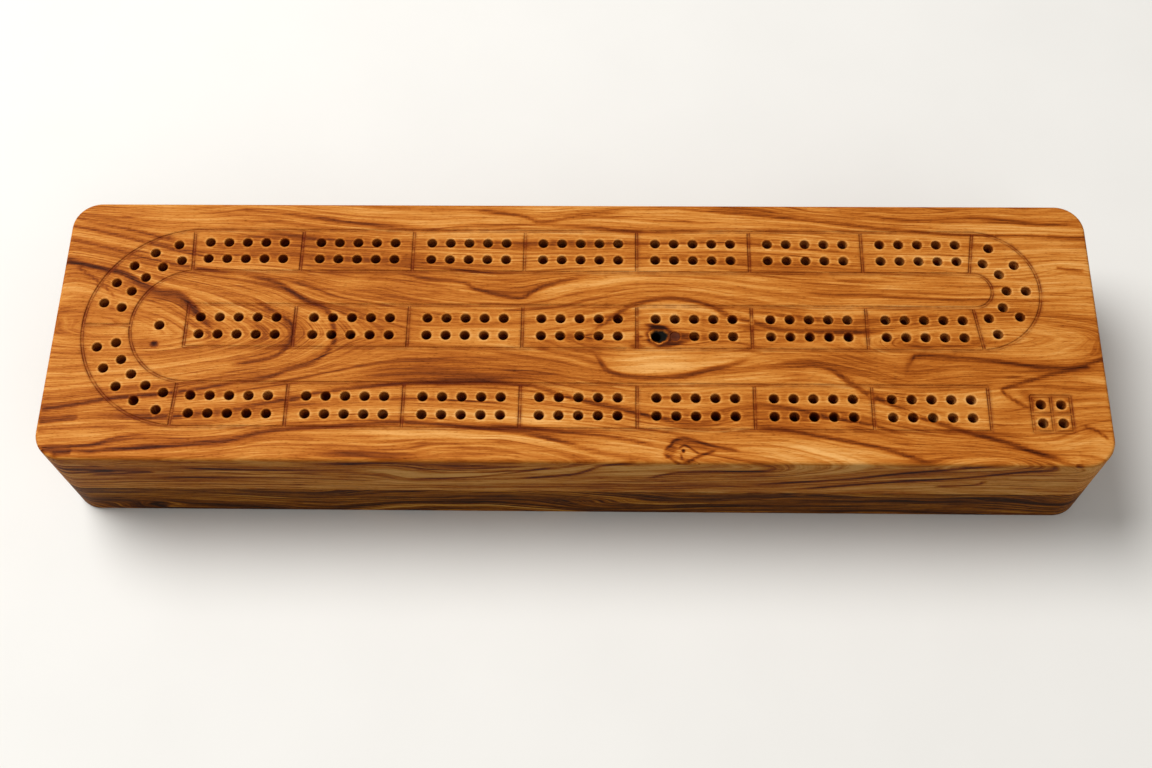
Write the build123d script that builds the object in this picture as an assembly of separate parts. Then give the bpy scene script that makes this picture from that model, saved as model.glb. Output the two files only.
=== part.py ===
from build123d import *
import math
import os

# Cribbage box with drawer: two boards of olive wood glued face to face, a drilled and
# engraved three-lane pegging track on the top, and a drawer that slides out of one end.
# Millimetres. Origin at the middle of the flat base; +X towards the drawer's mouth,
# +Y towards the lane that lies furthest from the player, +Z up.

# ---------------------------------------------------------------- driving dimensions

# the block
block_length = 346.0
block_width = 95.5
top_board_thickness = 26.0
lower_board_thickness = 20.0
corner_radius = 9.5          # upright corners
arris_radius = 1.2           # rounded edge round the playing face
base_chamfer = 0.8           # broken edge round the base

# peg holes
hole_pitch = 6.35            # hole to hole along a row, and row to row across a lane
hole_diameter = 3.2
hole_depth = 11.0
track_hole_sides = 8         # flats round each of the track's many holes, to keep the model light

# pegging track
holes_in_group = 5
groups_in_lane = 7
group_pitch = 37.9           # first hole of one group to first hole of the next
lane_spacing = 28.7          # centre line to centre line
track_offset_x = 2.2         # middle of the lanes, from the middle of the block
track_offset_y = 0.4
left_run_out = 2.4           # first hole of a lane to the start of the left curve
right_run_out = 4.4          # last hole of a lane to the start of the right curve
left_curve_step = 15.0       # degrees from hole to hole round the left curve
right_curve_step = 33.75     # degrees from hole to hole round the right curve
finish_hole_gap = 13.5       # finish hole to the middle lane's first holes

# engraved lines
lane_width = 15.9            # line to line across a lane
line_width = 1.3
line_depth = 0.5
middle_lane_end = 4.5        # middle lane's closing line beyond its first holes
near_lane_end = 5.6          # near lane's closing line beyond its last holes
left_divider_outer = 5.7     # slanting line at the left curve, at the lane's outer edge
left_divider_inner = 4.9     # the same, at the lane's inner edge
right_divider_outer = 6.1    # slanting line at the right curve, at the lane's outer edge
right_divider_inner = 3.8    # the same, at the lane's inner edge

# start block: two by two holes in a ruled square
start_block_x = 154.0
start_block_y = -29.9
start_hole_pitch = 6.5
start_cell = 6.3             # line to line

# drawer recess in the lower board, open at the right-hand end
recess_width = 74.0
recess_floor = 4.0           # wood left under the recess
recess_depth = 250.0

# drawer
drawer_side_gap = 0.4        # each side
drawer_top_gap = 0.5
drawer_glide_gap = 0.2       # waxed running face underneath
drawer_back_gap = 1.0
front_thickness = 10.0
side_thickness = 4.0
back_thickness = 5.0
bottom_thickness = 3.0
bottom_let_in = 2.0          # how far the bottom is let into sides, back and front
front_rabbet = 5.0           # how far the sides are let into the front
front_edge_round = 0.6
divider_thickness = 3.0
divider_let_in = 1.0         # how far a divider is let into each side
divider_drop = 1.5           # divider's top edge below the rim
peg_well_length = 42.0
finger_joints = 3            # fingers up each rear corner
finger_hole_diameter = 11.0
finger_hole_chamfer = 0.8

# stop pin in the recess floor, running in a groove under the drawer
pin_diameter = 3.0
pin_inset = 16.0             # from the mouth
pin_recess = 0.4             # below the base, so that the pin never scratches a table
pin_engagement = 1.2         # how far it stands up into the groove
pin_groove_depth = 1.7
pin_groove_gap = 0.3         # round the pin
drawer_kept_inside = 50.0    # length of drawer still in the recess when it is stopped

# disc magnets that hold the drawer shut
magnet_diameter = 6.0
magnet_thickness = 2.5

# pegs, which lie loose in the peg well
peg_length = 33.0
peg_shank_radius = 1.45
peg_shank_length = 14.0
peg_handle_radius = 2.4
peg_lift = 0.05              # clear of the drawer's bottom
peg_spacing = 13.0
peg_turns = (4.0, -6.0, 7.0, -3.0)   # degrees, how each lies askew in the well

# ---------------------------------------------------------------- worked out from those

block_height = top_board_thickness + lower_board_thickness
seam_z = lower_board_thickness
mouth_x = block_length / 2
hole_radius = hole_diameter / 2
row_offset = hole_pitch / 2
group_length = (holes_in_group - 1) * hole_pitch
lane_length = (groups_in_lane - 1) * group_pitch + group_length

first_hole_x = track_offset_x - lane_length / 2
last_hole_x = track_offset_x + lane_length / 2
middle_lane_y = track_offset_y
far_lane_y = middle_lane_y + lane_spacing
near_lane_y = middle_lane_y - lane_spacing
lane_ys = (far_lane_y, middle_lane_y, near_lane_y)

left_curve_x = first_hole_x - left_run_out
left_curve_y = middle_lane_y
left_curve_radius = lane_spacing
right_curve_x = last_hole_x + right_run_out
right_curve_y = (far_lane_y + middle_lane_y) / 2
right_curve_radius = lane_spacing / 2
finish_hole_x = first_hole_x - finish_hole_gap

recess_height = lower_board_thickness - recess_floor
recess_back_x = mouth_x - recess_depth

drawer_width = recess_width - 2 * drawer_side_gap
drawer_height = recess_height - drawer_top_gap - drawer_glide_gap
drawer_z = recess_floor + drawer_glide_gap
drawer_rim_z = drawer_z + drawer_height
drawer_back_x = recess_back_x + drawer_back_gap
front_back_x = mouth_x - front_thickness
side_front_x = front_back_x + front_rabbet
well_width = drawer_width - 2 * side_thickness
well_floor_z = drawer_z + bottom_thickness
peg_divider_x = front_back_x - peg_well_length - divider_thickness / 2
cards_front_x = peg_divider_x - divider_thickness / 2
cards_back_x = drawer_back_x + back_thickness
card_divider_x = (cards_front_x + cards_back_x) / 2
divider_height = drawer_rim_z - divider_drop - well_floor_z

pin_x = mouth_x - pin_inset
pin_top_z = drawer_z + pin_engagement
groove_half_width = pin_diameter / 2 + pin_groove_gap
groove_back_x = drawer_back_x + drawer_kept_inside - pin_inset
drawer_travel = pin_x - pin_diameter / 2 - groove_back_x

magnet_z = drawer_z + drawer_height / 2
magnet_radius = magnet_diameter / 2


# ---------------------------------------------------------------- small helpers

def box_between(x0, x1, y0, y1, z0, z1):
    """A plain box from its lowest to its highest corner."""
    size = (x1 - x0, y1 - y0, z1 - z0)
    return Pos((x0 + x1) / 2, (y0 + y1) / 2, (z0 + z1) / 2) * Box(*size)


def rectangle_between(x0, x1, y0, y1):
    """A flat rectangle from its lowest to its highest corner."""
    return Pos((x0 + x1) / 2, (y0 + y1) / 2) * Rectangle(x1 - x0, y1 - y0)


def line_strip(start, end):
    """A flat strip, as wide as an engraved line, from one point to another."""
    dx = end[0] - start[0]
    dy = end[1] - start[1]
    middle = ((start[0] + end[0]) / 2, (start[1] + end[1]) / 2)
    turn = math.degrees(math.atan2(dy, dx))
    return Pos(*middle) * Rot(0, 0, turn) * Rectangle(math.hypot(dx, dy), line_width)


def board_blank(bottom_z, thickness):
    """A board with the block's outline, from bottom_z up."""
    outline = RectangleRounded(block_length, block_width, corner_radius)
    return Pos(0, 0, bottom_z) * extrude(outline, thickness)


# ---------------------------------------------------------------- pegging track

def lane_holes(lane_y):
    """Both rows of one lane's holes, in groups."""
    points = []
    for group in range(groups_in_lane):
        for number in range(holes_in_group):
            x = first_hole_x + group * group_pitch + number * hole_pitch
            points.append((x, lane_y + row_offset))
            points.append((x, lane_y - row_offset))
    return points


def curve_holes(centre, radius, angles):
    """Both rows of holes round a curve, at the given angles in degrees."""
    points = []
    for angle in angles:
        for row_radius in (radius - row_offset, radius + row_offset):
            x = centre[0] + row_radius * math.cos(math.radians(angle))
            y = centre[1] + row_radius * math.sin(math.radians(angle))
            points.append((x, y))
    return points


def left_curve_angles():
    """One group above the curve's dividing line and one below it."""
    steps = [(number + 1) * left_curve_step for number in range(holes_in_group)]
    return [180 - step for step in steps] + [180 + step for step in steps]


def right_curve_angles():
    """One group, centred on the curve."""
    middle = (holes_in_group - 1) / 2
    return [(number - middle) * right_curve_step for number in range(holes_in_group)]


def start_block_holes():
    """The two by two holes that the pegs stand in before play."""
    half = start_hole_pitch / 2
    return [(start_block_x + i * half, start_block_y + j * half) for i in (-1, 1) for j in (-1, 1)]


def track_holes():
    """Every hole that is counted along the track."""
    points = []
    for lane_y in lane_ys:
        points += lane_holes(lane_y)
    points += curve_holes((left_curve_x, left_curve_y), left_curve_radius, left_curve_angles())
    points += curve_holes((right_curve_x, right_curve_y), right_curve_radius, right_curve_angles())
    return points


def single_holes():
    """The finish hole and the start block's holes."""
    return [(finish_hole_x, middle_lane_y)] + start_block_holes()


def half_ring(centre, radius, half_width, side):
    """The half of a flat ring that lies to one side of its centre: -1 left, 1 right."""
    outer = radius + half_width
    ring = Circle(outer) - Circle(radius - half_width)
    half = Pos(side * outer / 2, 0) * Rectangle(outer, 2 * outer)
    return Pos(*centre) * (ring & half)


def track_band(margin):
    """The whole track as one flat band, its lanes wider than lane_width by margin each side."""
    half = lane_width / 2 + margin
    far = rectangle_between(left_curve_x, right_curve_x, far_lane_y - half, far_lane_y + half)
    middle_x = first_hole_x - middle_lane_end - margin
    middle = rectangle_between(middle_x, right_curve_x, middle_lane_y - half, middle_lane_y + half)
    near_x = last_hole_x + near_lane_end + margin
    near = rectangle_between(left_curve_x, near_x, near_lane_y - half, near_lane_y + half)
    left = half_ring((left_curve_x, left_curve_y), left_curve_radius, half, -1)
    right = half_ring((right_curve_x, right_curve_y), right_curve_radius, half, 1)
    return far + left + near + right + middle


def slanting_divider(hole_x, side, lane_y, outward, outer, inner):
    """The line between a lane and a curve, leaning with the curve."""
    half = outward * lane_width / 2
    return line_strip((hole_x + side * outer, lane_y + half), (hole_x + side * inner, lane_y - half))


def track_dividers():
    """The lines across the lanes between groups, and those at the curves."""
    half = lane_width / 2
    strips = []
    for lane_y in lane_ys:
        for group in range(1, groups_in_lane):
            x = first_hole_x + group * group_pitch - (group_pitch - group_length) / 2
            strips.append(line_strip((x, lane_y - half), (x, lane_y + half)))
    left = (left_divider_outer, left_divider_inner)
    right = (right_divider_outer, right_divider_inner)
    strips.append(slanting_divider(first_hole_x, -1, far_lane_y, 1, *left))
    strips.append(slanting_divider(first_hole_x, -1, near_lane_y, -1, *left))
    strips.append(slanting_divider(last_hole_x, 1, far_lane_y, 1, *right))
    strips.append(slanting_divider(last_hole_x, 1, middle_lane_y, -1, *right))
    outer_x = left_curve_x - left_curve_radius - half
    strips.append(line_strip((outer_x, left_curve_y), (outer_x + lane_width, left_curve_y)))
    return strips


def start_block_lines():
    """A ruled square, crossed both ways."""
    side = 2 * start_cell
    square = Rectangle(side + line_width, side + line_width) - Rectangle(side - line_width, side - line_width)
    cross = Rectangle(side, line_width) + Rectangle(line_width, side)
    return Pos(start_block_x, start_block_y) * (square + cross)


def engraved_lines():
    """Everything that is engraved in the playing face, as one cutting solid."""
    lines = track_band(line_width / 2) - track_band(-line_width / 2)
    lines = lines + track_dividers() + start_block_lines()
    return Pos(0, 0, block_height - line_depth) * extrude(lines, line_depth)


# ---------------------------------------------------------------- the two boards

def make_top_board():
    """The playing board: rounded top edges, engraved lines, blind peg holes."""
    board = board_blank(seam_z, top_board_thickness)
    top_edges = board.faces().sort_by(Axis.Z)[-1].edges()
    board = fillet(top_edges, arris_radius)
    board = board - engraved_lines()
    bore = extrude(Circle(hole_radius), -hole_depth)
    flat_bore = extrude(RegularPolygon(hole_radius, track_hole_sides, major_radius=False), -hole_depth)
    holes = [Pos(x, y, block_height) * flat_bore for x, y in track_holes()]
    holes += [Pos(x, y, block_height) * bore for x, y in single_holes()]
    return board - holes


def drawer_recess():
    """The trough cut into the lower board from above, out through its end, chopped square."""
    half = recess_width / 2
    return box_between(recess_back_x, mouth_x, -half, half, recess_floor, seam_z)


def case_magnet_shape():
    """The disc let into the back wall of the recess."""
    disc = Rot(0, 90, 0) * Cylinder(magnet_radius, magnet_thickness)
    return Pos(recess_back_x - magnet_thickness / 2, 0, magnet_z) * disc


def stop_pin_shape():
    """The pin driven up through the recess floor, its lower end sunk in the base."""
    length = pin_top_z - pin_recess
    return Pos(pin_x, 0, pin_recess + length / 2) * Cylinder(pin_diameter / 2, length)


def make_lower_board():
    """The base board, with the drawer's recess, the magnet's seat and the pin's hole."""
    board = board_blank(0, lower_board_thickness)
    base_edges = board.faces().sort_by(Axis.Z)[0].edges()
    board = chamfer(base_edges, base_chamfer)
    board = board - drawer_recess() - case_magnet_shape()
    pin_hole = Pos(pin_x, 0, recess_floor / 2) * Cylinder(pin_diameter / 2, recess_floor)
    return board - pin_hole


# ---------------------------------------------------------------- the drawer

def bottom_blank():
    """The bottom panel before its groove, let into all four walls."""
    half = well_width / 2 + bottom_let_in
    front_x = front_back_x + bottom_let_in
    back_x = cards_back_x - bottom_let_in
    return box_between(back_x, front_x, -half, half, drawer_z, well_floor_z)


def stop_groove():
    """The stopped groove under the drawer that the pin runs in."""
    front_x = pin_x + groove_half_width
    groove = box_between(groove_back_x, front_x, -groove_half_width, groove_half_width,
                         drawer_z, drawer_z + pin_groove_depth)
    ends = groove.edges().filter_by(Axis.Z)
    return fillet(ends, groove_half_width * 0.98)


def make_drawer_bottom():
    """The bottom panel with the stop pin's groove."""
    return bottom_blank() - stop_groove()


def divider_shape(middle_x):
    """A cross divider, let into both sides."""
    half = well_width / 2 + divider_let_in
    return box_between(middle_x - divider_thickness / 2, middle_x + divider_thickness / 2,
                       -half, half, well_floor_z, well_floor_z + divider_height)


def side_blank(hand):
    """One side as a plain board: hand is 1 for the far side and -1 for the near side."""
    outer = hand * drawer_width / 2
    inner = hand * well_width / 2
    return box_between(drawer_back_x, side_front_x, min(outer, inner), max(outer, inner),
                       drawer_z, drawer_rim_z)


def corner_fingers(hand, first):
    """Every other finger of one rear corner, counted from the bottom."""
    finger_height = drawer_height / finger_joints
    outer = hand * drawer_width / 2
    inner = hand * well_width / 2
    fingers = []
    for number in range(first, finger_joints, 2):
        z = drawer_z + number * finger_height
        fingers.append(box_between(drawer_back_x, cards_back_x, min(outer, inner), max(outer, inner),
                                   z, z + finger_height))
    return fingers


def make_drawer_side(hand):
    """A side: finger-jointed at the back, rabbeted for the bottom, grooved for the dividers."""
    side = side_blank(hand) - corner_fingers(hand, 1)
    side = side - bottom_blank()
    return side - divider_shape(peg_divider_x) - divider_shape(card_divider_x)


def drawer_magnet_shape():
    """The disc let into the back of the drawer, facing the one in the recess."""
    disc = Rot(0, 90, 0) * Cylinder(magnet_radius, magnet_thickness)
    return Pos(drawer_back_x + magnet_thickness / 2, 0, magnet_z) * disc


def make_drawer_back():
    """The back, with fingers that fill the gaps in both sides."""
    half = drawer_width / 2
    back = box_between(drawer_back_x, cards_back_x, -half, half, drawer_z, drawer_rim_z)
    back = back - corner_fingers(1, 0) - corner_fingers(-1, 0)
    return back - bottom_blank() - drawer_magnet_shape()


def finger_hole():
    """The pull: a hole through the front, its outer rim eased."""
    bore = Rot(0, 90, 0) * Cylinder(finger_hole_diameter / 2, front_thickness)
    rim = Rot(0, 90, 0) * Cone(finger_hole_diameter / 2, finger_hole_diameter / 2 + finger_hole_chamfer,
                               finger_hole_chamfer)
    z = drawer_z + drawer_height / 2
    bore = Pos(front_back_x + front_thickness / 2, 0, z) * bore
    return bore + Pos(mouth_x - finger_hole_chamfer / 2, 0, z) * rim


def make_drawer_front():
    """The front: eased outer edges, rabbets for the sides, the finger hole."""
    half = drawer_width / 2
    front = box_between(front_back_x, mouth_x, -half, half, drawer_z, drawer_rim_z)
    outer_edges = front.faces().sort_by(Axis.X)[-1].edges()
    front = fillet(outer_edges, front_edge_round)
    front = front - side_blank(1) - side_blank(-1)
    return front - bottom_blank() - finger_hole()


# ---------------------------------------------------------------- the pegs

def peg_upright():
    """One turned peg, standing on its tip: a slim shank and a thicker handle."""
    bottom = (Align.CENTER, Align.CENTER, Align.MIN)
    shank = Cylinder(peg_shank_radius, peg_shank_length, align=bottom)
    handle = Cylinder(peg_handle_radius, peg_length - peg_shank_length, align=bottom)
    return shank + Pos(0, 0, peg_shank_length) * handle


def lying_peg(y, turn):
    """A peg at rest on the drawer's bottom, its tip down towards the cards, askew by turn."""
    peg = Pos(0, 0, -peg_length / 2) * peg_upright()
    tilt = math.degrees(math.atan((peg_handle_radius - peg_shank_radius) / peg_shank_length))
    peg = Rot(0, 0, turn) * Rot(0, 90 - tilt, 0) * peg
    low = peg.bounding_box().min.Z
    middle_x = front_back_x - peg_well_length / 2
    return Pos(middle_x, y, well_floor_z + peg_lift - low) * peg


def make_pegs():
    """Two light pegs and two dark ones, side by side in the peg well."""
    names = ("light_peg_1", "light_peg_2", "dark_peg_1", "dark_peg_2")
    pegs = {}
    for number, (name, turn) in enumerate(zip(names, peg_turns)):
        y = (number - (len(names) - 1) / 2) * peg_spacing
        pegs[name] = lying_peg(y, turn)
    return pegs


# ---------------------------------------------------------------- write the nodes

def main():
    """Build every piece and write one STEP file for each."""
    nodes = {
        "top_board": make_top_board(),
        "lower_board": make_lower_board(),
        "case_magnet": case_magnet_shape(),
        "stop_pin": stop_pin_shape(),
        "drawer_front": make_drawer_front(),
        "drawer_left_side": make_drawer_side(-1),
        "drawer_right_side": make_drawer_side(1),
        "drawer_back": make_drawer_back(),
        "drawer_bottom": make_drawer_bottom(),
        "peg_divider": divider_shape(peg_divider_x),
        "card_divider": divider_shape(card_divider_x),
        "drawer_magnet": drawer_magnet_shape(),
    }
    nodes.update(make_pegs())
    os.makedirs("parts", exist_ok=True)
    for name, shape in nodes.items():
        export_step(shape, f"parts/{name}.step")
    print(f"drawer travel {drawer_travel:.2f} mm, {len(track_holes() + single_holes())} peg holes")


main()
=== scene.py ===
import sys
import logging
import math
from dataclasses import dataclass, field
from enum import Enum

import bmesh
import bpy
import numpy as np
from mathutils import Matrix, Vector
from mathutils.geometry import delaunay_2d_cdt


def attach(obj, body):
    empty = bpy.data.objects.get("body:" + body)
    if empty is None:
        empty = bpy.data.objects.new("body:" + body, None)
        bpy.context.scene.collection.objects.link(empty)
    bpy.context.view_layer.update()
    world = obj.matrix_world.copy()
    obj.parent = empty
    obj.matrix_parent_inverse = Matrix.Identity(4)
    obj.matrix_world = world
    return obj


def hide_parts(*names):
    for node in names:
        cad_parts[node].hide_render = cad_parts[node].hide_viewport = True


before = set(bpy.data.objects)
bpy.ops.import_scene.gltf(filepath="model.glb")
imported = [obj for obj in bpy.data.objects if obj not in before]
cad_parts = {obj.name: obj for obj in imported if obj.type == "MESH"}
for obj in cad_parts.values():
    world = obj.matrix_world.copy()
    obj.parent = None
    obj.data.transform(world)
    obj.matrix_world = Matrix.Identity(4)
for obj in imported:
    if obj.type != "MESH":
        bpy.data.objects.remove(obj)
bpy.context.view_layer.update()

log = logging.getLogger("cribbage box")
MM = 0.001
Point = tuple[float, float]
Points = tuple[Point, ...]
Place = tuple[float, float, float]


# ---------------------------------------------------------------- shared helpers


def paint(red: int, green: int, blue: int) -> tuple[float, float, float, float]:
    """A screen colour, 0 to 255, as the linear colour that a shader takes.

    Args:
        red: red share.
        green: green share.
        blue: blue share.

    Returns:
        Linear red, green, blue and an alpha of 1.
    """
    linear = []
    for share in (red, green, blue):
        value = share / 255
        linear.append(value / 12.92 if value <= 0.04045 else ((value + 0.055) / 1.055) ** 2.4)
    return (linear[0], linear[1], linear[2], 1.0)


def smoothstep(low: float, high: float, values: np.ndarray) -> np.ndarray:
    """Eases values from 0 at low to 1 at high.

    Args:
        low: where the result is 0.
        high: where the result is 1.
        values: numbers to ease.

    Returns:
        Numbers from 0 to 1.
    """
    share = np.clip((values - low) / (high - low), 0, 1)
    return share * share * (3 - 2 * share)


def add_object(name: str, mesh: bpy.types.Mesh) -> bpy.types.Object:
    """Puts a mesh in the scene as an object at the origin.

    Args:
        name: the object's name.
        mesh: its mesh.

    Returns:
        The new object.
    """
    made = bpy.data.objects.new(name, mesh)
    bpy.context.scene.collection.objects.link(made)
    return made


def settle(piece: bpy.types.Object) -> None:
    """Applies a piece's modifiers, leaving a plain mesh.

    Args:
        piece: the piece, which is changed.
    """
    graph = bpy.context.evaluated_depsgraph_get()
    graph.update()
    mesh = bpy.data.meshes.new_from_object(piece.evaluated_get(graph), depsgraph=graph)
    piece.modifiers.clear()
    piece.data = mesh


def turned(profile: Points, sides: int) -> tuple[list[Vector], list[tuple[int, ...]]]:
    """A solid turned about the Z axis.

    Args:
        profile: (height, radius) pairs from the low end up. An end with a radius of 0 is a
            point, and any other is closed flat.
        sides: facets round it.

    Returns:
        Its points, and its faces, which point outwards.
    """
    points: list[Vector] = []
    faces: list[tuple[int, ...]] = []
    below = 0
    for number, (height, radius) in enumerate(profile):
        ring = len(points)
        for k in range(sides if radius else 1):
            angle = k * math.tau / sides
            points.append(Vector((radius * math.cos(angle), radius * math.sin(angle), height)))
        if number == 0:
            if radius:
                faces.append(tuple(range(sides - 1, -1, -1)))
            continue
        for k in range(sides):
            j = (k + 1) % sides
            low = (below + k, below + j) if profile[number - 1][1] else (below,)
            high = (ring + j, ring + k) if radius else (ring,)
            faces.append(low + high)
        below = ring
    return points, faces


def dress(piece: bpy.types.Object, finish: bpy.types.Material) -> None:
    """Gives a piece one material."""
    piece.data.materials.clear()
    piece.data.materials.append(finish)


def shade(mesh: bpy.types.Mesh, sharp_degrees: float = 35.0) -> None:
    """Shades a mesh smoothly, keeping its sharper edges crisp."""
    mesh.polygons.foreach_set("use_smooth", [True] * len(mesh.polygons))
    mesh.set_sharp_from_angle(angle=math.radians(sharp_degrees))


def report(piece: bpy.types.Object) -> None:
    """Logs a finished piece and its number of triangles."""
    piece.data.calc_loop_triangles()
    log.info("%s: %d triangles", piece.name, len(piece.data.loop_triangles))


# ---------------------------------------------------------------- shader writing


@dataclass(frozen=True)
class Number:
    """A number socket that Python's operators work on, each adding a Math node."""

    writer: "TreeWriter"
    socket: bpy.types.NodeSocket

    def _with(self, operation: str, *values: object) -> "Number":
        """Adds a Math node."""
        made = self.writer.node("ShaderNodeMath", {"operation": operation}, dict(enumerate(values)))
        return Number(self.writer, made.outputs[0])

    def __add__(self, other: object) -> "Number":
        """self + other."""
        return self._with("ADD", self, other)

    def __radd__(self, other: object) -> "Number":
        """other + self."""
        return self._with("ADD", other, self)

    def __sub__(self, other: object) -> "Number":
        """self - other."""
        return self._with("SUBTRACT", self, other)

    def __rsub__(self, other: object) -> "Number":
        """other - self."""
        return self._with("SUBTRACT", other, self)

    def __mul__(self, other: object) -> "Number":
        """self * other."""
        return self._with("MULTIPLY", self, other)

    def __rmul__(self, other: object) -> "Number":
        """other * self."""
        return self._with("MULTIPLY", other, self)

    def __abs__(self) -> "Number":
        """The size of self."""
        return self._with("ABSOLUTE", self)

    def eased(self, low: float, high: float) -> "Number":
        """Eases self from 0 at low to 1 at high.

        Args:
            low: where the result is 0.
            high: where the result is 1.

        Returns:
            A number from 0 to 1.
        """
        sockets = {"Value": self, "From Min": low, "From Max": high}
        made = self.writer.node("ShaderNodeMapRange", {"interpolation_type": "SMOOTHSTEP"}, sockets)
        return Number(self.writer, made.outputs["Result"])


class TreeWriter:
    """Writes the nodes of one tree."""

    def __init__(self, tree: bpy.types.NodeTree) -> None:
        """Starts on a tree."""
        self.tree = tree

    def node(
        self,
        kind: str,
        settings: dict[str, object] | None = None,
        sockets: dict[str | int, object] | None = None,
    ) -> bpy.types.Node:
        """Adds a node.

        Args:
            kind: the node's type.
            settings: its own properties; "stops" fills a ramp with (place, colour) pairs.
            sockets: values or links of its inputs, by name or number.

        Returns:
            The new node.
        """
        made = self.tree.nodes.new(kind)
        for name, value in (settings or {}).items():
            if name == "stops":
                ramp = made.color_ramp
                while len(ramp.elements) < len(value):
                    ramp.elements.new(1.0)
                for element, (place, colour) in zip(ramp.elements, value):
                    element.position = place
                    element.color = colour
            else:
                setattr(made, name, value)
        self.feed(made, sockets or {})
        return made

    def feed(self, node: bpy.types.Node, sockets: dict[str | int, object]) -> None:
        """Sets or links inputs of a node.

        Args:
            node: the node.
            sockets: values or links, by the name or number of the input.
        """
        for name, value in sockets.items():
            if isinstance(value, Number):
                value = value.socket
            if isinstance(value, bpy.types.NodeSocket):
                self.tree.links.new(value, node.inputs[name])
            else:
                node.inputs[name].default_value = value


class ShaderWriter(TreeWriter):
    """Writes one material's nodes."""

    def __init__(self, name: str) -> None:
        """Starts a material that has a Principled surface and nothing else.

        Args:
            name: the material's name.
        """
        self.material = bpy.data.materials.new(name)
        self.material.use_nodes = True
        super().__init__(self.material.node_tree)
        self.tree.nodes.clear()
        self.surface = self.node("ShaderNodeBsdfPrincipled")
        self.node("ShaderNodeOutputMaterial", sockets={"Surface": self.surface.outputs[0]})

    def attribute(self, name: str) -> Number:
        """A number that the mesh carries at each of its points."""
        return Number(self, self.node("ShaderNodeAttribute", {"attribute_name": name}).outputs["Fac"])

    def millimetres(self) -> tuple[Number, ...]:
        """The piece's own three coordinates in millimetres.

        Returns:
            Along, across and up.
        """
        place = self.node("ShaderNodeTexCoord").outputs["Object"]
        scaled = self.node("ShaderNodeVectorMath", {"operation": "SCALE"}, {0: place, "Scale": 1 / MM})
        parts = self.node("ShaderNodeSeparateXYZ", sockets={0: scaled.outputs[0]})
        return tuple(Number(self, socket) for socket in parts.outputs)

    def noise(self, x: object, y: object, z: object, detail: float = 2.0, rough: float = 0.5) -> Number:
        """Smooth noise about 0.5, one wave to each unit.

        Args:
            x: first coordinate.
            y: second coordinate.
            z: third coordinate.
            detail: octaves.
            rough: how strong the finer octaves are.

        Returns:
            The noise.
        """
        place = self.node("ShaderNodeCombineXYZ", sockets={0: x, 1: y, 2: z}).outputs[0]
        sockets = {"Vector": place, "Scale": 1.0, "Detail": detail, "Roughness": rough}
        return Number(self, self.node("ShaderNodeTexNoise", sockets=sockets).outputs["Fac"])

    def ramp(self, place: Number, stops: tuple) -> bpy.types.NodeSocket:
        """A colour read from a ramp."""
        return self.node("ShaderNodeValToRGB", {"stops": stops}, {0: place}).outputs["Color"]

    def mixed(self, share: object, first: object, second: object) -> bpy.types.NodeSocket:
        """A colour between two others.

        Args:
            share: 0 for the first and 1 for the second.
            first: a colour.
            second: a colour.

        Returns:
            The mixed colour.
        """
        made = self.node("ShaderNodeMix", {"data_type": "RGBA"}, {0: share, 6: first, 7: second})
        return made.outputs[2]

    def finish(
        self,
        colour: object,
        roughness: object,
        height: Number | None = None,
        relief: float = 0.05,
        **constants: float,
    ) -> bpy.types.Material:
        """Connects the surface.

        Args:
            colour: base colour.
            roughness: roughness.
            height: what the bump follows.
            relief: the bump's depth in millimetres.
            constants: other sockets, with spaces written as underscores.

        Returns:
            The material.
        """
        values = {"Base Color": colour, "Roughness": roughness}
        values.update({name.replace("_", " "): value for name, value in constants.items()})
        if height is not None:
            sockets = {"Height": height, "Strength": 1.0, "Distance": relief * MM}
            values["Normal"] = self.node("ShaderNodeBump", sockets=sockets).outputs["Normal"]
        self.feed(self.surface, values)
        return self.material


# ---------------------------------------------------------------- finishes


class Run(Enum):
    """Which way a board's grain runs."""

    LENGTHWISE = 0
    CROSSWISE = 1


HONEY = (
    (0.00, paint(42, 12, 2)),
    (0.16, paint(84, 33, 6)),
    (0.30, paint(120, 55, 10)),
    (0.42, paint(149, 74, 16)),
    (0.51, paint(174, 95, 27)),
    (0.60, paint(192, 114, 40)),
    (0.70, paint(209, 136, 58)),
    (0.92, paint(233, 172, 98)),
)
UMBER = (
    (0.00, paint(40, 16, 0)),
    (0.16, paint(74, 33, 2)),
    (0.30, paint(106, 54, 6)),
    (0.42, paint(137, 73, 11)),
    (0.51, paint(162, 92, 19)),
    (0.70, paint(197, 128, 42)),
    (0.92, paint(224, 166, 82)),
)


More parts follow.
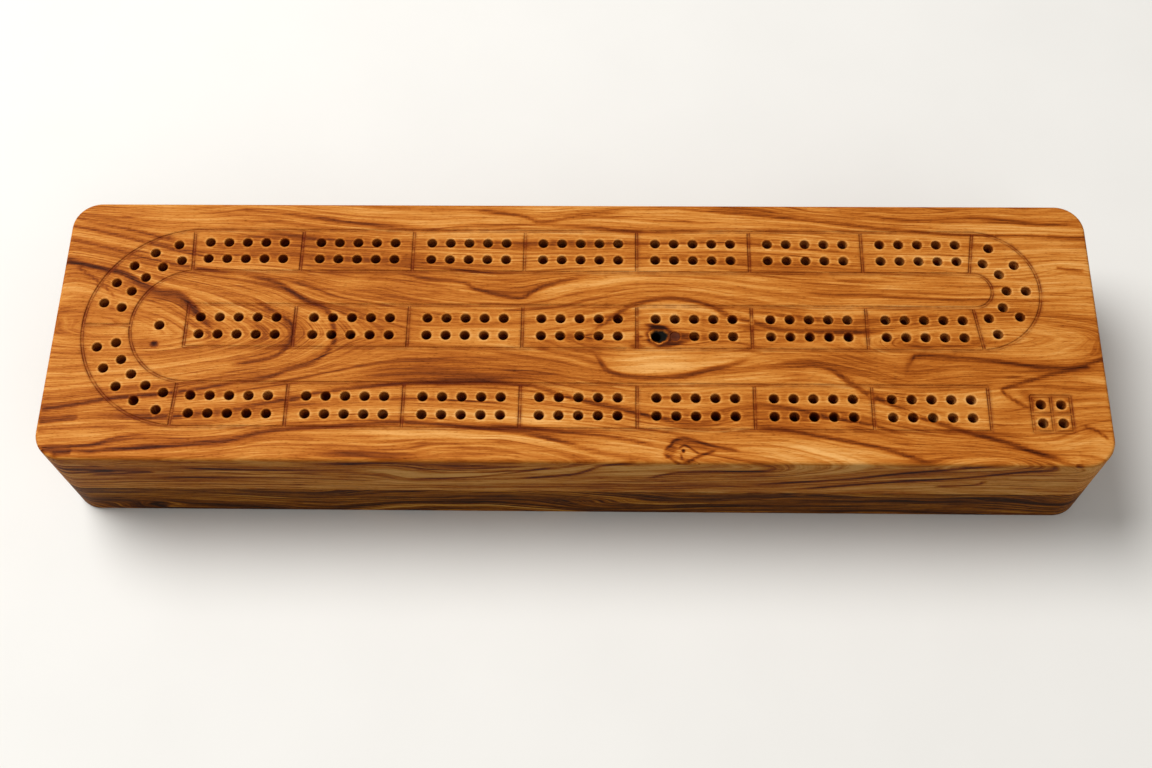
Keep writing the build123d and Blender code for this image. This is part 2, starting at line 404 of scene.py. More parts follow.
@dataclass(frozen=True)
class OliveWood:
    """Oiled olive wood: dark, smoky growth lines on honey brown.

    With figured set, the mesh gives the growth field (millimetres), the streaks, the tone of
    broad patches with a painted highlight on each hole's chamfer, and the burnt wood of holes
    and lines with painted shade deepening into the holes and on the lines that run across the
    board. Otherwise the figure is made from noise.
    """

    name: str
    figured: bool = False
    run: Run = Run.LENGTHWISE
    tone: float = 0.0
    contrast: float = 1.0
    top: float = 46.0
    side_contrast: float = 0.8
    colours: tuple = HONEY
    # The colour of burnt wood, also used for painted shade in the holes and on lines across the board.
    burnt_and_shaded: tuple = paint(98, 30, 3)
    black: tuple = paint(13, 12, 9)

    def growth(self, writer: ShaderWriter, along: Number, across: Number, up: Number) -> Number:
        """The growth field of a board whose mesh doesn't carry one.

        Args:
            writer: the material's writer.
            along: place along the grain.
            across: place across it.
            up: height.

        Returns:
            The field, in millimetres.
        """
        slow = writer.noise(along * 0.008, across * 0.018, up * 0.028, 1.0)
        quick = writer.noise(along * 0.028, across * 0.06, up * 0.09, 2.0)
        return up * 0.9 + abs(across) * 0.45 + slow * 52.0 + quick * 8.0

    def make(self) -> bpy.types.Material:
        """Writes the material.

        Returns:
            The material.
        """
        writer = ShaderWriter(self.name)
        x, y, z = writer.millimetres()
        along, across = (x, y) if self.run is Run.LENGTHWISE else (y, x)
        growth = writer.attribute("growth") if self.figured else self.growth(writer, along, across, z)
        waver = writer.noise(along * 0.014, across * 0.06, z * 0.06, 2.0, 0.5)
        line = growth + (waver - 0.5) * 4.0 + abs(across + 3.0) * 0.25 + z * 0.35
        drift = along * 0.009
        broad = writer.noise(line * 0.17, drift, across * 0.01, 2.0)
        rings = writer.noise(line * 0.60, drift * 1.4, across * 0.02, 5.0, 0.68)
        threads = writer.noise(line * 2.2, along * 0.022, z * 0.03, 4.0, 0.65)
        fibres = writer.noise(along * 0.09, across * 2.8, z * 2.8, 3.0, 0.65)
        pores = writer.noise(along * 0.5, across * 5.5, z * 5.5, 1.0)
        inked = writer.noise(line * 0.34, drift * 2.0, 7.0, 3.0, 0.62).eased(0.58, 0.74)
        vein = writer.noise(line * 0.40, drift, 11.0, 2.0)
        vein = 1 - abs(vein - 0.5).eased(0.0, 0.022)
        vein = vein * writer.noise(line * 0.3, along * 0.03, 5.0, 1.0).eased(0.42, 0.62)

        tone = 0.60 + self.tone + (broad - 0.5) * (0.5 * self.contrast) - vein * (0.16 * self.contrast)
        ringed = 0.66 if self.figured else 0.85
        tone = tone + (rings - 0.5) * (ringed * self.contrast) + (threads - 0.5) * (0.72 * self.contrast)
        tone = tone + (fibres - 0.5) * 0.52 - pores.eased(0.60, 0.76) * 0.14
        tone = tone - inked * (0.20 * self.contrast)
        if self.figured:
            smoke = writer.noise(line * 0.9, along * 0.05, 3.0, 2.0)
            # Broad patches, the knot, and a painted highlight on each hole's chamfer.
            tone = tone + writer.attribute("patch")
            streak = writer.attribute("streak")
            feather = (streak + (threads - 0.5) * 0.6).eased(0.10, 0.42) * streak.eased(0.03, 0.20)
            tone = tone - streak * (0.15 + smoke * 0.6) - feather * 0.13
        side = (self.top - z).eased(0.6, 2.0)
        tone = 0.57 + self.tone + (tone - 0.57 - self.tone) * (1 + side * self.side_contrast)
        colour = writer.ramp(tone, self.colours)
        height = (threads - 0.5) * 0.5 + (fibres - 0.5) * 0.8 - pores.eased(0.58, 0.74) * 0.7
        if self.figured:
            worn = writer.noise(x * 0.3, y * 0.3, z * 0.3, 2.0).eased(0.30, 0.62)
            # Burnt holes and lines, with painted shade deepening into the holes and on lines across the
            # board.
            burn = writer.attribute("burn") * (0.45 + worn * 0.55)
            colour = writer.mixed(burn, colour, self.burnt_and_shaded)
            colour = writer.mixed(writer.attribute("char"), colour, self.black)
        roughness = 0.54 + (fibres - 0.5) * 0.25 + pores.eased(0.58, 0.74) * 0.12
        return writer.finish(colour, roughness, height, 0.06, Specular_IOR_Level=0.05)


@dataclass(frozen=True)
class PlainWood:
    """A quiet hardwood with straight fine grain."""

    name: str
    light: tuple
    dark: tuple
    run: Run = Run.LENGTHWISE
    roughness: float = 0.45
    shine: float = 0.25

    def make(self) -> bpy.types.Material:
        """Writes the material.

        Returns:
            The material.
        """
        writer = ShaderWriter(self.name)
        x, y, z = writer.millimetres()
        along, across = (x, y) if self.run is Run.LENGTHWISE else (y, x)
        bend = writer.noise(along * 0.012, across * 0.05, z * 0.05, 1.0) * 9.0
        rings = writer.noise((across + z * 0.6 + bend) * 0.45, along * 0.006, 0.0, 2.0)
        fibres = writer.noise(along * 0.12, across * 3.0, z * 3.0, 3.0, 0.6)
        flecks = writer.noise(along * 0.4, across * 4.0, z * 4.0, 1.0).eased(0.62, 0.74)
        share = 0.45 + (rings - 0.5) * 1.5 + (fibres - 0.5) * 0.7 + flecks * 0.25
        colour = writer.mixed(share.eased(0.0, 1.0), self.light, self.dark)
        height = (fibres - 0.5) - flecks * 0.5
        roughness = self.roughness + (fibres - 0.5) * 0.2
        return writer.finish(colour, roughness, height, 0.04, Specular_IOR_Level=self.shine)


@dataclass(frozen=True)
class Metal:
    """A bare or plated metal, lightly scratched and dulled."""

    name: str
    bright: tuple
    dull: tuple
    roughness: float = 0.22

    def make(self) -> bpy.types.Material:
        """Writes the material.

        Returns:
            The material.
        """
        writer = ShaderWriter(self.name)
        x, y, z = writer.millimetres()
        cloud = writer.noise(x * 0.9, y * 0.9, z * 0.9, 3.0, 0.6)
        scratches = writer.noise(x * 9.0, y * 1.2, z * 14.0, 2.0)
        colour = writer.mixed(cloud.eased(0.35, 0.7), self.bright, self.dull)
        roughness = self.roughness + cloud.eased(0.4, 0.7) * 0.18 + (scratches - 0.5) * 0.12
        return writer.finish(colour, roughness, scratches, 0.01, Metallic=1.0)


# ---------------------------------------------------------------- the playing board's figure


class Face(Enum):
    """The faces of the playing board that streaks are drawn on."""

    TOP = "top"
    FRONT = "front"


@dataclass(frozen=True)
class Streak:
    """A dark growth line: its level in the growth field, if it has one, and its run over a face.

    Points are millimetres along the board, and across it on the top or down from the top on
    the front. The shade is the reach of the smoke beside the line: left of its run where it
    is above 0, and right of it where it is below.
    """

    level: float | None
    points: Points
    dark: float = 0.35
    width: float = 0.9
    shade: float = 0.0
    face: Face = Face.TOP

    def run(self, step: float = 0.3) -> np.ndarray:
        """Points close together on a smooth curve through the given ones.

        Args:
            step: about how far apart they are.

        Returns:
            The points.
        """
        knots = np.array(self.points, float)
        ends = np.vstack([2 * knots[0] - knots[1], knots, 2 * knots[-1] - knots[-2]])
        pieces = []
        for a, b, c, d in zip(ends, ends[1:], ends[2:], ends[3:]):
            count = max(2, int(np.hypot(*(c - b)) / step))
            t = np.linspace(0, 1, count, endpoint=False)[:, None]
            bend = (c - a) * t + (2 * a - 5 * b + 4 * c - d) * t**2 + (3 * b - a - 3 * c + d) * t**3
            pieces.append(b + bend / 2)
        return np.vstack(pieces + [knots[-1:]])


@dataclass(frozen=True)
class Patch:
    """A broad lighter or darker place of the top: an ellipse, as turned by some degrees."""

    x: float
    y: float
    half_x: float
    half_y: float
    tone: float
    turn: float = 0.0


STREAKS: tuple[Streak, ...] = (
    # left third
    Streak(34, ((-172, 41.5), (-161, 39), (-150, 36.5), (-135, 32.5)), 0.35, 0.8, 2.0),
    Streak(42, ((-115, 46.6), (-100, 43.9), (-80, 40.5), (-55, 37.6), (-39.6, 38.5), (-22, 39.5),
                (-10, 39.8), (5, 38.8), (21.4, 37.1), (42, 36.4)), 0.34, 0.9, 2.0),
    Streak(30, ((-172, 38.5), (-155, 34.4), (-137, 29.6), (-122, 26)), 0.35, 0.8, 1.5),
    Streak(24, ((-172, 33), (-161, 30.3), (-146.5, 26.3), (-131.6, 22.9), (-114, 20)), 0.42, 0.9, 2.0),
    Streak(8, ((-172, 24.9), (-160, 21.8), (-152.6, 20.1), (-146, 16), (-140, 13.4), (-131.6, 11.5),
               (-123.4, 2.5), (-118.7, -2.2)), 0.62, 1.4, -4.0),
    Streak(4, ((-168, 22), (-159.4, 16), (-152.6, 9.3)), 0.3, 0.6),
    Streak(24, ((-114, 20), (-100, 16.5), (-90, 10), (-82, 6), (-79, -3), (-80, -8), (-85, -12.5),
                (-94, -16), (-100, -18.5), (-114, -21)), 0.5, 1.2, -3.0),
    Streak(17, ((-108, 11), (-101.7, 6.6), (-97, 3.9), (-93.6, 1), (-93, -3.6), (-95, -8.3), (-100, -11.7),
                (-114, -14.5)), 0.45, 1.0, -3.0),
    Streak(24, ((-171.6, -30.7), (-161, -28.7), (-149, -26.3), (-133, -24.6), (-121, -22.6), (-107, -19.9)),
           0.5, 0.9, -2.5),
    Streak(30, ((-171.6, -34.8), (-152.6, -32.8), (-133, -32.8), (-110.5, -30.4), (-100, -28), (-91, -26.3),
                (-80, -23.6), (-60, -20.9), (-49.8, -20.2), (-32.9, -19.5), (-15.9, -20.6), (-9.8, -21.9),
                (-2.3, -24.6), (7.8, -27.3), (20, -30), (35, -34.1), (45.8, -35.5)), 0.52, 1.0, 3.0),
    Streak(34, ((-171.6, -38.2), (-161, -37.2), (-141, -36.2)), 0.35, 0.8),
    Streak(38, ((-170, -44.3), (-154.6, -43), (-146.5, -40.2), (-134, -38.2)), 0.35, 0.8),
    Streak(40, ((-166, -46), (-149, -44.6), (-114, -41.6), (-100, -38.2), (-91, -36.8), (-73, -35.5),
                (-60, -34.6), (-46.4, -34.8), (-32.9, -35.8), (-22, -36.8), (-12.5, -38.2), (-2.3, -40.9),
                (4.5, -42.9), (14.6, -45), (21.4, -47)), 0.55, 1.0, 2.5),
    # middle
    Streak(46, ((-37, 46), (-19, 43.2), (-11, 40.9), (1, 43.2), (18, 45)), 0.4, 0.8, 2.0),
    Streak(46, ((33.6, 46), (48.5, 45), (60, 43.9), (84, 41.2), (99.8, 39.1), (113, 37.8), (129.6, 36.4),
                (156.8, 35.8), (172, 35.1)), 0.45, 0.9, 2.0),
    Streak(38, ((-50, 32.7), (-16.6, 32.4), (20, 32.4), (55, 32.7), (68.6, 31), (82, 30), (97, 28.3),
                (120, 27.6)), 0.3, 0.9),
    Streak(31, ((-60, 20.8), (-49.8, 18.5), (-37.6, 17.1), (-32.9, 14.7), (-24.7, 12.3), (-17.9, 11.3),
                (-13.9, 13.4), (-9.8, 16), (-0.3, 18.8), (7.8, 20.1)), 0.45, 1.0, 3.0),
    Streak(26, ((5, -7), (7, -1), (11.9, 3.2), (16, 6.6), (21.4, 9.3), (30.2, 11.3), (38.4, 10.7),
                (45.8, 8.6), (51.3, 5.2), (60, 2.5), (68.6, -0.2), (82, -0.9), (97, -0.9), (106, 0.5)),
           0.5, 1.1, 2.0),
    Streak(26, ((5, -7), (8.5, -11), (11.2, -15.1), (16.7, -17.2), (24.8, -17.8), (35, -17.2),
                (43.8, -15.1), (51.3, -13.1), (60, -10.4)), 0.5, 1.1, -3.2),
    Streak(37.5, ((-29.5, -34.8), (-9.8, -36.5), (7.8, -38.2), (20, -40.2), (30.2, -42.9)), 0.4, 0.8),
    Streak(None, ((29.1, -44.6), (30.7, -42.5), (31.9, -41.6), (32.6, -40.3), (34.8, -39.4), (36.8, -39.3),
                  (40.3, -40.2), (44.3, -41.5), (48.2, -42.5), (55, -43.6)), 0.48, 0.7),
    Streak(None, ((29.1, -44.6), (31.5, -46.1), (34.6, -47.8), (37, -47.4), (41, -45.2), (47, -43.2)),
           0.48, 0.7),
    Streak(None, ((34.1, -43.1), (35.1, -42.2), (36.3, -41.7), (37.9, -42.5), (39.5, -43.7), (41.0, -44.6)),
           0.5, 0.5),
    # right third
    Streak(51, ((82, 46), (95.7, 44.6), (109, 42.5), (122.8, 41.5), (145, 41.2), (172, 39.8)),
           0.35, 0.8, 2.0),
    Streak(31, ((70, 16), (82, 13.4), (98, 13), (109, 12), (127, 11.3), (150, 11.3), (172, 12)),
           0.35, 0.9, 2.0),
    Streak(34, ((162, 23.5), (170, 22.5)), 0.5, 0.7),
    Streak(22, ((106.6, -5.6), (122.8, -6), (139, -4.3), (146.6, -2.9)), 0.3, 0.8),
    Streak(25, ((108.6, -17.8), (108.6, -14.5), (110.6, -11), (113, -9.2), (122.8, -9.7), (136.4, -11),
                (152.7, -13.4), (163.5, -13.1), (172.4, -10.4)), 0.45, 0.9, -2.0),
    Streak(27.5, ((77.4, -12.4), (84.8, -15.1), (89, -18.5), (95.7, -23.3), (102.5, -26.7), (109.3, -30.4),
                (119.4, -34.1), (129.6, -37.5), (139, -40.2), (150, -44.3), (160.8, -47.7)), 0.55, 1.1, 3.0),
    Streak(26.5, ((167, -13.1), (160.8, -14.5), (153.4, -16.5), (145, -19.2), (139, -21.6), (142.5, -25.3),
                  (148.6, -29)), 0.45, 0.9, 2.0),
    Streak(28, ((164, -34.5), (167, -35.5), (170.3, -38.2)), 0.4, 0.8),
    Streak(29, ((55, -26.7), (68.6, -28), (82, -31.4), (97, -34.8), (110, -38.5)), 0.38, 0.9),
    Streak(31, ((55, -34.8), (68.6, -36.2), (78.7, -38.2), (89, -40.2), (99, -42.3), (109.3, -45.7),
                (116, -47.7)), 0.5, 1.0, 2.5),
    # front of the playing board
    Streak(43, ((-56, 16), (-30, 12.7), (-3.4, 3.9)), 0.4, 1.2, 2.0, Face.FRONT),
    Streak(40, ((-17.6, 14.5), (1, 10.1), (9.8, 3), (23, 0)), 0.4, 1.2, 2.0, Face.FRONT),
    Streak(38, ((23, 14.8), (31.8, 9.2), (40.7, 7.8), (67, 6.5)), 0.4, 1.2, 2.0, Face.FRONT),
    Streak(33, ((58, 18.9), (89, 13.1), (107, 7.4), (138, 0)), 0.45, 1.2, 2.0, Face.FRONT),
    Streak(30, ((70, 23.3), (102, 15.7), (129, 10.4), (146.5, 5.1), (158, 5.1)), 0.45, 1.2, 2.0, Face.FRONT),
    Streak(28, ((118, 19.2), (131.5, 17.1), (134, 12.7)), 0.4, 1.2, 0.0, Face.FRONT),
    Streak(39.5, ((-168, 9.5), (-158, 9.8), (-150, 10.5), (-158, 11.6), (-168, 12.5)),
           0.35, 1.0, 0.0, Face.FRONT),
    Streak(38.5, ((-158, 10.8), (-146, 10.2), (-137, 10.8), (-146, 12.2), (-160, 14)),
           0.35, 1.0, 0.0, Face.FRONT),
    Streak(41, ((-130, 7), (-100, 8.5), (-60, 8)), 0.35, 1.0, 1.5, Face.FRONT),
    Streak(37, ((-140, 16), (-105, 15), (-60, 17.5)), 0.35, 1.0, -1.5, Face.FRONT),
)

# Growth levels on the top between the streaks, as (along, across, level).
BARE_PLACES: tuple[Place, ...] = (
    (-55, -4, 27.5), (-40, -4, 27.5), (-25, -4, 27.5),
    (-173, 4, 2.5), (-160, 1, 2.5), (-147, -2, 3), (-134, -3, 4), (-122, -4, 6),
    (-173, -14, 10), (-155, -13, 9), (-138, -12, 8.5), (165, 0, 24), (150, 3, 23),
)

# Growth levels on the back and at the left of the front, as (down from the top, level).
BACK_LEVELS: Points = ((6, 52), (14, 58), (26, 66))
FRONT_LEVELS: Points = ((4, 43), (12, 39), (22, 33))

PATCHES: tuple[Patch, ...] = (
    Patch(-30, -15.5, 38, 5.5, -0.15),
    Patch(-104, 31, 20, 6, -0.10),
    Patch(-68, 26, 19, 9, -0.12),
    Patch(-60, 14, 15, 4.5, -0.12),
    Patch(-22, 14.5, 12, 4.5, -0.12),
    Patch(-144, -2, 15, 8, 0.05),
    Patch(-128, -9.5, 14, 3, -0.05, 6),
    Patch(-95, -3, 12, 8, -0.08),
    Patch(26.5, -12.4, 14, 4.4, 0.20),
    Patch(30, 7.5, 14, 2.2, 0.12),
    Patch(27.3, 0.9, 3.8, 0.8, -0.42, -10),
    Patch(33.0, -5.6, 4.8, 0.8, -0.42, 12),
    Patch(33.6, -2.8, 2.9, 2.0, -0.34),
    Patch(37.8, -2.9, 2.4, 1.2, -0.34),
    Patch(42.5, -3.4, 4.0, 0.8, -0.14),
    Patch(21.6, -3.0, 1.6, 0.8, -0.30),
    Patch(20.9, -6.6, 2.6, 0.8, -0.34),
    Patch(-138.5, -6.6, 1.3, 1.1, -0.55),
    Patch(-142, -6.4, 4.0, 1.6, -0.12),
    Patch(38.6, -41.4, 7.6, 1.5, -0.22, -12),
    Patch(31.8, -43.6, 1.7, 3.4, -0.22, -35),
    Patch(35.4, -46.2, 4.6, 0.9, -0.17, -12),
    Patch(37.6, -43.9, 3.4, 1.3, 0.10, -14),
    Patch(160, -27, 17, 10, -0.11),
    Patch(148, -24.5, 4.5, 1.6, -0.16, -35),
    Patch(150, -3, 20, 5, 0.08),
    Patch(135, -42, 22, 5, -0.07, -10),
    Patch(35.8, -43.6, 0.6, 0.6, -0.75),
    Patch(35.2, -45.7, 0.4, 1.2, -0.30, 12),
    Patch(75, -43, 22, 3.5, 0.14),
    Patch(-60, -46.5, 42, 1.8, -0.03),
    Patch(-128, 38, 20, 5, 0.06),
    Patch(-88, 34, 14, 5, -0.07),
    Patch(-25, 37, 30, 6, 0.08),
    Patch(68, 42.5, 32, 3.5, 0.11),
    Patch(98, 19, 22, 4, 0.09),
    Patch(157, 34, 14, 5, 0.08),
    Patch(163, -10, 9, 3, 0.09),
    Patch(0, -6, 13, 5, -0.15),
    Patch(104, -6.5, 12, 4.5, -0.15),
    Patch(45, 4.5, 10, 3, -0.11),
    Patch(106, -25, 20, 4, -0.07),
    Patch(141, -32, 7, 6, -0.10),
    Patch(-84, 20, 9, 4, -0.10),
    Patch(-76, -2, 5, 4, -0.11),
    Patch(-119, -3, 4, 4, -0.10),
    Patch(-156, -35, 18, 6, 0.07),
    Patch(-18, -31, 24, 4, 0.06),
    Patch(98, -45.5, 12, 3, 0.09),
    Patch(-33, -45.8, 17, 2.6, 0.15),
)


# ---------------------------------------------------------------- the playing board


@dataclass(frozen=True)
class Curve:
    """A half turn of the track."""

    centre: Point
    radius: float

    def point(self, degrees: float, outward: float) -> Point:
        """A place at some angle, some way outside the curve's own radius."""
        angle, reach = math.radians(degrees), self.radius + outward
        return (self.centre[0] + reach * math.cos(angle), self.centre[1] + reach * math.sin(angle))


@dataclass(frozen=True)
class TrackLayout:
    """Where the peg holes and the engraved lines lie, in millimetres."""

    hole_pitch: float = 6.35
    holes_in_group: int = 5
    groups_in_lane: int = 7
    group_pitch: float = 37.9
    lane_spacing: float = 28.7
    middle: Point = (2.2, 0.4)
    left_run_out: float = 2.4
    right_run_out: float = 4.4
    left_curve_step: float = 15.0
    right_curve_step: float = 33.75
    finish_hole_gap: float = 13.5
    lane_width: float = 15.9
    middle_lane_end: float = 4.5
    near_lane_end: float = 5.6
    left_divider: Point = (5.7, 4.9)
    right_divider: Point = (6.1, 3.8)
    start_block: Point = (154.0, -29.9)
    start_hole_pitch: float = 6.5
    start_cell: float = 6.3
    arc_step: float = 3.0

    @property
    def group_length(self) -> float:
        """First to last hole of a group."""
        return (self.holes_in_group - 1) * self.hole_pitch

    @property
    def first_x(self) -> float:
        """Each lane's first hole."""
        return self.middle[0] - self.lane_length / 2

    @property
    def last_x(self) -> float:
        """Each lane's last hole."""
        return self.middle[0] + self.lane_length / 2

    @property
    def lane_length(self) -> float:
        """First to last hole of a lane."""
        return (self.groups_in_lane - 1) * self.group_pitch + self.group_length

    @property
    def lanes(self) -> tuple[float, float, float]:
        """The places of the far, the middle and the near lane's centre lines."""
        return tuple(self.middle[1] + side * self.lane_spacing for side in (1, 0, -1))

    @property
    def left_curve(self) -> Curve:
        """The curve from the far lane to the near one."""
        return Curve((self.first_x - self.left_run_out, self.middle[1]), self.lane_spacing)

    @property
    def right_curve(self) -> Curve:
        """The curve from the far lane to the middle one."""
        radius = self.lane_spacing / 2
        return Curve((self.last_x + self.right_run_out, self.middle[1] + radius), radius)

    def holes(self) -> np.ndarray:
        """Every peg hole's centre.

        Returns:
            The centres, on the top.
        """
        row = self.hole_pitch / 2
        numbers = range(self.holes_in_group)
        points = [(self.first_x + group * self.group_pitch + number * self.hole_pitch, lane_y + side * row)
                  for lane_y in self.lanes for group in range(self.groups_in_lane)
                  for number in numbers for side in (1, -1)]
        steps = [(number + 1) * self.left_curve_step for number in numbers]
        half = (self.holes_in_group - 1) / 2
        right = [(number - half) * self.right_curve_step for number in numbers]
        for curve, angles in ((self.left_curve, [180 + side * step for side in (-1, 1) for step in steps]),
                              (self.right_curve, right)):
            points += [curve.point(angle, side * row) for angle in angles for side in (-1, 1)]
        points.append((self.first_x - self.finish_hole_gap, self.middle[1]))
        (x, y), reach = self.start_block, self.start_hole_pitch / 2
        points += [(x + i * reach, y + j * reach) for i in (-1, 1) for j in (-1, 1)]
        return np.array(points)

    def lines(self) -> list[Points]:
        """The centre lines of everything engraved, as runs of points, the arcs in short steps.

        Returns:
            The runs.
        """
        half = self.lane_width / 2
        left, right = self.left_curve, self.right_curve
        far_y, middle_y, near_y = self.lanes
        start_x = self.first_x - self.middle_lane_end
        end_x = self.last_x + self.near_lane_end
        runs: list[Points] = []
        for lane_y, x0, x1 in (
            (far_y, left.centre[0], right.centre[0]),
            (middle_y, start_x, right.centre[0]),
            (near_y, left.centre[0], end_x),
        ):
            runs += [((x0, lane_y + edge), (x1, lane_y + edge)) for edge in (half, -half)]
            for group in range(1, self.groups_in_lane):
                x = self.first_x + group * self.group_pitch - (self.group_pitch - self.group_length) / 2
                runs.append(((x, lane_y - half), (x, lane_y + half)))
        runs.append(((start_x, middle_y - half), (start_x, middle_y + half)))
        runs.append(((end_x, near_y - half), (end_x, near_y + half)))
        for hole_x, lane_y, outward, (outer, inner) in (
            (self.first_x, far_y, 1, self.left_divider),
            (self.first_x, near_y, -1, self.left_divider),
            (self.last_x, far_y, 1, self.right_divider),
            (self.last_x, middle_y, -1, self.right_divider),
        ):
            hand = 1 if hole_x > 0 else -1
            runs.append(((hole_x + hand * outer, lane_y + outward * half),
                         (hole_x + hand * inner, lane_y - outward * half)))
        outer_x = left.centre[0] - left.radius - half
        runs.append(((outer_x, left.centre[1]), (outer_x + self.lane_width, left.centre[1])))
        for curve, first in ((left, 90), (right, -90)):
            for edge in (half, -half):
                angles = np.arange(first, first + 180 + self.arc_step, self.arc_step)
                runs.append(tuple(curve.point(angle, edge) for angle in angles))
        x, y = self.start_block
        cell = self.start_cell
        for k in (-cell, 0, cell):
            runs += [((x - cell, y + k), (x + cell, y + k)), ((x + k, y - cell), (x + k, y + cell))]
        return runs


@dataclass
class BranchKnot:
    """The hollow black knot in the middle lane, and the filled peg hole beside it."""

    x: float = 28.5
    y: float = -2.6
    half_x: float = 2.8
    half_y: float = 2.35
    depth: float = 0.7
    filled_hole: Point = (33.75, -2.775)
    filling_radius: float = 1.62
    filling_top: float = 45.72
    filling_depth: float = 2.0
    filling_shape: Points = ((-0.05, 1.0), (0.0, 0.9), (-0.1, 0.7), (-0.2, 0.35), (-0.22, 0.0))
    sides: int = 32
    finish: PlainWood = PlainWood("knot filling", paint(104, 46, 20), paint(58, 24, 12), roughness=0.6,
                                  shine=0.08)

    def reach(self, points: np.ndarray) -> np.ndarray:
        """How far points lie from the knot's middle, as a share of the way to its edge.

        Args:
            points: places on the board.

        Returns:
            The shares, 1 at the edge.
        """
        dx, dy = (points[:, 0] - self.x) / self.half_x, (points[:, 1] - self.y) / self.half_y
        angle = np.arctan2(dy, dx)
        return np.hypot(dx, dy) / (1 + 0.04 * np.sin(3 * angle + 0.8) + 0.05 * np.sin(7 * angle))

    def char(self, points: np.ndarray) -> np.ndarray:
        """How black the knot's heart makes each point, from 0 to 1."""
        return smoothstep(1.12, 0.86, self.reach(points))

    def tone(self, points: np.ndarray) -> np.ndarray:
        """The pale bark round the heart, and the stain round the bark.

        Args:
            points: places on the board.

        Returns:
            How much lighter or darker each point is.
        """
        reach = self.reach(points)
        below = smoothstep(1.5, -1.5, (points[:, 0] - self.x) * 0.5 + points[:, 1] - self.y)
        bark = 0.44 * below * np.exp(-(((reach - 1.19) / 0.08) ** 2))
        return bark - 0.32 * np.exp(-(((reach - 1.36) / 0.32) ** 2))

    def make(self) -> None:
        """Builds and dresses the filling: a disc that has shrunk in its middle."""
        rings = ((-self.filling_depth, 1.0), *self.filling_shape)
        profile = tuple((height, self.filling_radius * share) for height, share in rings)
        points, faces = turned(profile, self.sides)
        place = Vector((*self.filled_hole, self.filling_top))
        mesh = bpy.data.meshes.new("knot filling")
        mesh.from_pydata([tuple((place + point) * MM) for point in points], [], faces)
        mesh.materials.append(self.finish.make())
        shade(mesh, 50)
        piece = add_object("knot_filling", mesh)
        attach(piece, "case")
        report(piece)


